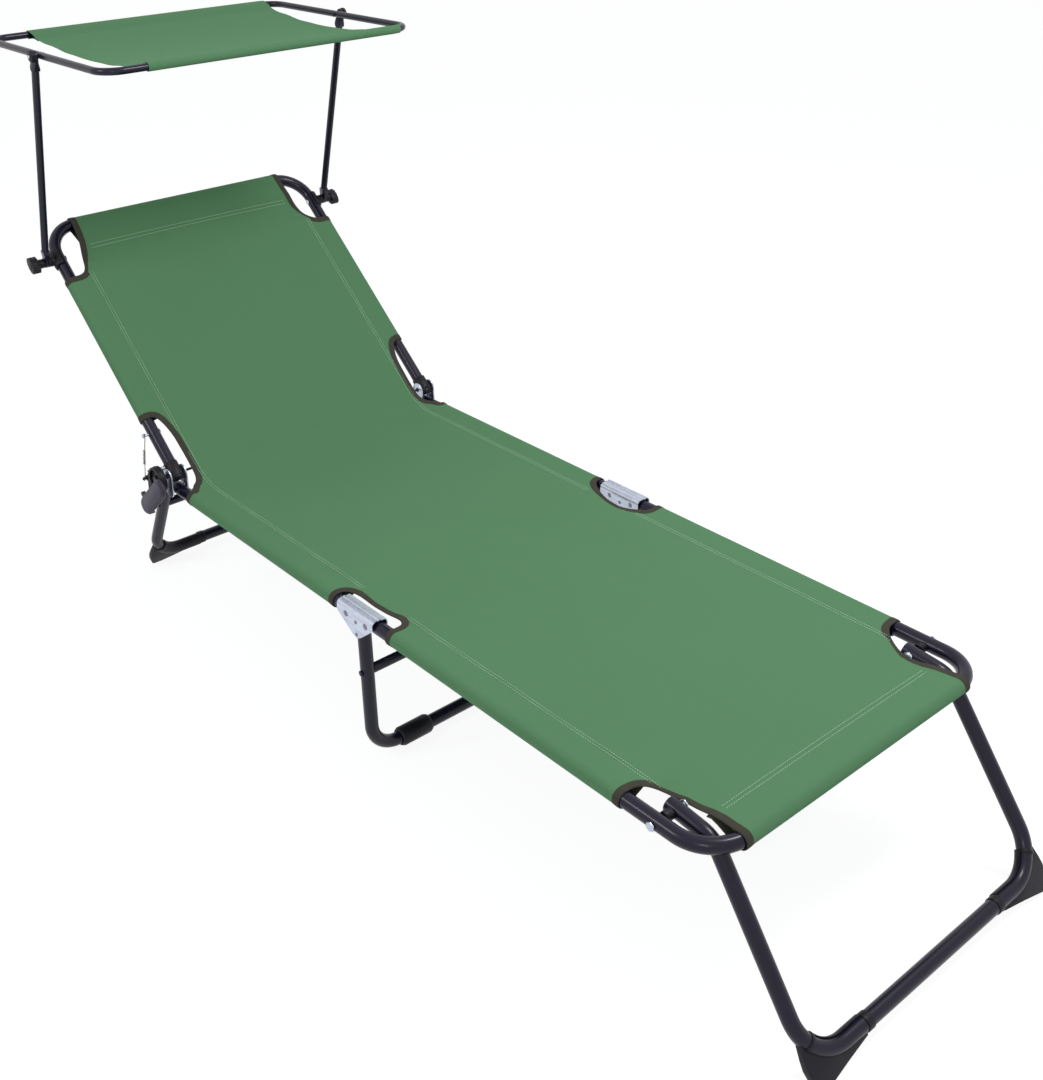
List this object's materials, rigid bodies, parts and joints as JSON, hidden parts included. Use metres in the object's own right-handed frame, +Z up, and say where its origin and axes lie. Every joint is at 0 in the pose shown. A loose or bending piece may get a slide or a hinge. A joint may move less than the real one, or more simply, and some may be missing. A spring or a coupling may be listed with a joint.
{
  "type": "folding sun lounger with canopy",
  "caption": "Low folding lounger: tube frame with sling cloth, ratchet backrest, folding legs and a cloth canopy that swings and tilts over the head end.",
  "frame": {"origin": "centre of the footprint on the floor, below the bounding box of the rest pose", "axes": "+Y from the foot end to the head end, +Z up, +X to the right of somebody lying on it with the feet toward -Y"},
  "size_m": [0.6728, 1.9022, 0.999],
  "materials": {
    "tube": "powder coat, dark violet grey, semi-gloss",
    "zinc": "bright zinc plate",
    "plastic": "black, fine grain",
    "housing": "dark violet grey, fine grain",
    "spring": "bright drawn spring wire",
    "cloth": "green woven sling cloth"
  },
  "bodies": {
    "seat": {"seat_tube_left": "tube", "seat_tube_right": "tube", "seat_sling": "cloth", "hip_plate_left": "zinc", "hip_plate_right": "zinc", "hip_axle": "tube", "ratchet_gear_left": "plastic", "rear_leg_bolt_left": "zinc", "rear_leg_bolt_right": "zinc"},
    "rear_leg": {"rear_leg_tube": "tube", "rear_cross_bar": "tube", "rear_foot_left": "plastic", "rear_foot_right": "plastic"},
    "mid_leg": {"mid_leg_tube": "tube", "mid_cross_bar": "tube", "knee_bracket_left": "zinc", "knee_bracket_right": "zinc", "mid_pad_left": "plastic", "mid_pad_right": "plastic", "knee_rivet_seat_left": "zinc", "knee_rivet_seat_right": "zinc", "knee_rivet_foot_left": "zinc", "knee_rivet_foot_right": "zinc"},
    "foot_section": {"foot_frame": "tube", "foot_sling": "cloth", "foot_leg_bolt_left": "zinc", "foot_leg_bolt_right": "zinc", "foot_leg_bush_left": "plastic", "foot_leg_bush_right": "plastic"},
    "foot_leg": {"foot_leg_tube": "tube", "foot_leg_foot_left": "plastic", "foot_leg_foot_right": "plastic"},
    "backrest": {"backrest_frame": "tube", "backrest_sling": "cloth", "knuckle_left": "plastic", "knuckle_right": "plastic", "ratchet_housing_left": "housing", "housing_stud_left": "zinc", "tension_spring_left": "spring", "spring_pin_left": "zinc", "clamp_saddle_left": "plastic", "clamp_saddle_right": "plastic", "clamp_bolt_left": "zinc", "clamp_bolt_right": "zinc"},
    "pawl_left": {"ratchet_pawl_left": "plastic"},
    "canopy_arms": {"canopy_arm_left": "tube", "canopy_arm_right": "tube", "arm_spacer_left": "plastic", "arm_spacer_right": "plastic", "canopy_pivot_cap_left": "plastic", "canopy_pivot_cap_right": "plastic"},
    "knob_left": {"clamp_knob_left": "plastic"},
    "knob_right": {"clamp_knob_right": "plastic"},
    "canopy": {"canopy_frame": "tube", "canopy_cloth": "cloth"}
  },
  "joints": [
    {"name": "backrest_recline", "type": "hinge", "parent": "seat", "child": "backrest", "pos_m": [0, 0.4778, 0.2955], "axis": [-1, 0, 0], "range_deg": [-88, 41]},
    {"name": "knee_seat_hinge", "type": "hinge", "parent": "seat", "child": "mid_leg", "pos_m": [0, -0.0672, 0.268], "axis": [1, 0, 0], "range_deg": [0, 90]},
    {"name": "knee_foot_hinge", "type": "hinge", "parent": "mid_leg", "child": "foot_section", "pos_m": [0, -0.1172, 0.268], "axis": [1, 0, 0], "range_deg": [0, 87]},
    {"name": "foot_leg_fold", "type": "hinge", "parent": "foot_section", "child": "foot_leg", "pos_m": [0, -0.6957, 0.268], "axis": [1, 0, 0], "range_deg": [0, 132.5]},
    {"name": "rear_leg_fold", "type": "hinge", "parent": "seat", "child": "rear_leg", "pos_m": [0, 0.5548, 0.268], "axis": [-1, 0, 0], "range_deg": [0, 118]},
    {"name": "canopy_swing", "type": "hinge", "parent": "backrest", "child": "canopy_arms", "pos_m": [0, 0.83499, 0.6071], "axis": [1, 0, 0], "range_deg": [-55, 60]},
    {"name": "canopy_tilt", "type": "hinge", "parent": "canopy_arms", "child": "canopy", "pos_m": [0, 0.72033, 0.98927], "axis": [-1, 0, 0], "range_deg": [-45, 30]},
    {"name": "left_knob_turn", "type": "hinge", "parent": "backrest", "child": "knob_left", "pos_m": [0, 0.83499, 0.6071], "axis": [1, 0, 0], "continuous": true},
    {"name": "right_knob_turn", "type": "hinge", "parent": "backrest", "child": "knob_right", "pos_m": [0, 0.83499, 0.6071], "axis": [1, 0, 0], "continuous": true},
    {"name": "left_pawl_swing", "type": "hinge", "parent": "backrest", "child": "pawl_left", "pos_m": [0, 0.52181, 0.22999], "axis": [-1, 0, 0], "range_deg": [-5.1, 0], "deforming": ["tension_spring_left"]}
  ]
}
